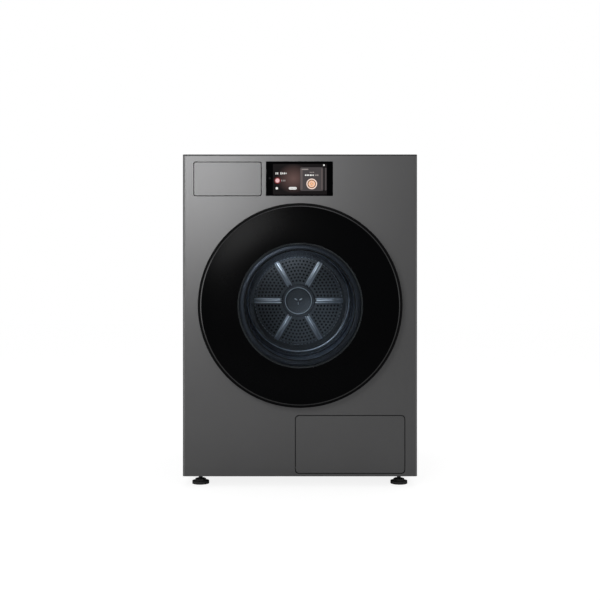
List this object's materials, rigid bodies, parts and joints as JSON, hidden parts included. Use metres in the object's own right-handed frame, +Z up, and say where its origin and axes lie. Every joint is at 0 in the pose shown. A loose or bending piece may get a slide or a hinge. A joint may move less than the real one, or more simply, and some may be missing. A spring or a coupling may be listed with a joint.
{
  "type": "clothes dryer",
  "caption": "Free-standing heat pump clothes dryer with a large round black glass door, water tank drawer, touch display and lower filter hatch.",
  "frame": {"origin": "middle of the overall footprint, on the floor under the feet", "axes": "+Z up, the door faces -Y, +X is to the right of a person who faces the door"},
  "size_m": [0.6, 0.648, 0.85],
  "materials": {
    "base_plastic": "moulded",
    "side_steel": "satin painted",
    "galvanised_steel": "galvanised",
    "worktop": "satin painted",
    "front_steel": "dark satin steel",
    "grey_plastic": "moulded",
    "white_plastic": "moulded",
    "black_plastic": "moulded",
    "display_glass": "polished black glass",
    "seal_rubber": "moulded rubber",
    "felt": "wool felt",
    "bearing_steel": "turned steel",
    "zinc_parts": "zinc plated",
    "filter_foam": "open foam",
    "coil_aluminium": "thin fins",
    "copper": "drawn copper",
    "compressor_black": "enamelled",
    "motor_aluminium": "die cast",
    "belt_rubber": "ribbed rubber",
    "lever_plastic": "moulded",
    "foot_rubber": "moulded rubber",
    "tank_plastic": "translucent moulded",
    "drum_steel": "polished stainless steel",
    "drum_plate": "satin stainless steel",
    "lifter_plastic": "moulded",
    "door_rim_metal": "gloss black",
    "door_glass": "polished glass",
    "black_print": "printed behind the glass",
    "bowl_glass": "polished glass"
  },
  "bodies": {
    "cabinet": {"base_tray": "base_plastic", "left_side_panel": "side_steel", "right_side_panel": "side_steel", "rear_panel": "galvanised_steel", "rear_duct_cover": "galvanised_steel", "top_panel": "worktop", "front_panel": "front_steel", "front_bulkhead": "grey_plastic", "rear_bulkhead": "galvanised_steel", "drawer_housing": "white_plastic", "display_housing": "black_plastic", "display_glass": "display_glass", "control_module": "white_plastic", "door_seal": "seal_rubber", "front_felt": "felt", "rear_bearing": "bearing_steel", "hinge_bracket": "zinc_parts", "hinge_pin": "zinc_parts", "door_catch": "white_plastic", "heat_exchanger_filter": "filter_foam", "evaporator": "coil_aluminium", "condenser": "coil_aluminium", "refrigerant_pipes": "copper", "compressor": "compressor_black", "motor_body": "motor_aluminium", "blower_housing": "grey_plastic", "drive_belt": "belt_rubber", "idler_spring": "bearing_steel", "inner_cover": "grey_plastic", "drain_port": "grey_plastic", "power_inlet": "black_plastic"},
    "door": {"door_rim": "door_rim_metal", "door_glass": "door_glass", "door_mask": "black_print", "door_frame": "black_plastic", "door_bowl": "bowl_glass", "door_hinge_leaf": "zinc_parts"},
    "drawer": {"drawer_front": "front_steel", "water_tank": "tank_plastic"},
    "hatch": {"hatch_flap": "front_steel"},
    "lever_left": {"cover_lever_left": "lever_plastic"},
    "lever_right": {"cover_lever_right": "lever_plastic"},
    "drum": {"drum_shell": "drum_steel", "drum_vent_plate": "drum_plate", "drum_hub_cap": "drum_plate", "drum_lifters": "lifter_plastic", "drum_shaft": "bearing_steel"},
    "rotor": {"motor_shaft": "bearing_steel", "blower_wheel": "white_plastic"},
    "tensioner": {"idler_arm": "zinc_parts"},
    "tensioner_pulley": {"idler_pulley": "black_plastic"},
    "left_roller": {"roller_left": "belt_rubber"},
    "right_roller": {"roller_right": "belt_rubber"},
    "fan": {"cooling_fan": "black_plastic"},
    "latch": {"latch_plunger": "zinc_parts"},
    "lint_screen": {"lint_filter": "grey_plastic"},
    "front_left_foot": {"foot_front_left": "foot_rubber"},
    "front_right_foot": {"foot_front_right": "foot_rubber"},
    "rear_left_foot": {"foot_rear_left": "foot_rubber"},
    "rear_right_foot": {"foot_rear_right": "foot_rubber"}
  },
  "joints": [
    {"name": "door_hinge", "type": "hinge", "parent": "cabinet", "child": "door", "pos_m": [0.243, -0.304, 0.465], "axis": [0, 0, 1], "range_deg": [0, 150]},
    {"name": "drawer_slide", "type": "slide", "parent": "cabinet", "child": "drawer", "axis": [0, -1, 0], "range_m": [0, 0.38]},
    {"name": "hatch_hinge", "type": "hinge", "parent": "cabinet", "child": "hatch", "pos_m": [0.1282, -0.268, 0.0475], "axis": [1, 0, 0], "range_deg": [0, 90]},
    {"name": "lever_left_turn", "type": "hinge", "parent": "cabinet", "child": "lever_left", "pos_m": [0.0132, -0.26, 0.1085], "axis": [0, 1, 0], "range_deg": [0, 90]},
    {"name": "lever_right_turn", "type": "hinge", "parent": "cabinet", "child": "lever_right", "pos_m": [0.2432, -0.26, 0.1085], "axis": [0, 1, 0], "range_deg": [0, 90]},
    {"name": "drum_spin", "type": "hinge", "parent": "cabinet", "child": "drum", "pos_m": [0, 0, 0.465], "axis": [0, 1, 0], "continuous": true},
    {"name": "motor_spin", "type": "hinge", "parent": "cabinet", "child": "rotor", "pos_m": [-0.23, 0, 0.201], "axis": [0, 1, 0], "continuous": true},
    {"name": "tensioner_swing", "type": "hinge", "parent": "cabinet", "child": "tensioner", "pos_m": [-0.11, -0.13, 0.1507], "axis": [0, 1, 0], "range_deg": [0, 6], "stiffness_Nm_per_rad": 2, "springref_deg": -20.05},
    {"name": "tensioner_pulley_spin", "type": "hinge", "parent": "tensioner", "child": "tensioner_pulley", "pos_m": [-0.15, -0.14, 0.2007], "axis": [0, 1, 0], "continuous": true},
    {"name": "left_roller_spin", "type": "hinge", "parent": "cabinet", "child": "left_roller", "pos_m": [-0.17, -0.17, 0.22232], "axis": [0, 1, 0], "continuous": true},
    {"name": "right_roller_spin", "type": "hinge", "parent": "cabinet", "child": "right_roller", "pos_m": [0.17, -0.17, 0.22232], "axis": [0, 1, 0], "continuous": true},
    {"name": "cooling_fan_spin", "type": "hinge", "parent": "cabinet", "child": "fan", "pos_m": [-0.07, 0.27, 0.112], "axis": [0, 1, 0], "continuous": true},
    {"name": "latch_travel", "type": "slide", "parent": "cabinet", "child": "latch", "axis": [-1, 0, 0], "range_m": [0, 0.0045], "stiffness_N_per_m": 800, "springref_m": -0.004},
    {"name": "lint_filter_lift", "type": "slide", "parent": "cabinet", "child": "lint_screen", "axis": [0, 0, 1], "range_m": [0, 0.035]},
    {"name": "front_left_foot_height", "type": "slide", "parent": "cabinet", "child": "front_left_foot", "axis": [0, 0, -1], "range_m": [0, 0.012]},
    {"name": "front_right_foot_height", "type": "slide", "parent": "cabinet", "child": "front_right_foot", "axis": [0, 0, -1], "range_m": [0, 0.012]},
    {"name": "rear_left_foot_height", "type": "slide", "parent": "cabinet", "child": "rear_left_foot", "axis": [0, 0, -1], "range_m": [0, 0.012]},
    {"name": "rear_right_foot_height", "type": "slide", "parent": "cabinet", "child": "rear_right_foot", "axis": [0, 0, -1], "range_m": [0, 0.012]}
  ],
  "couplings": [
    {"joint": "motor_spin", "follows": "drum_spin", "ratio": 27.4},
    {"joint": "tensioner_pulley_spin", "follows": "drum_spin", "ratio": 15.222},
    {"joint": "left_roller_spin", "follows": "drum_spin", "ratio": -12.454},
    {"joint": "right_roller_spin", "follows": "drum_spin", "ratio": -12.454}
  ]
}
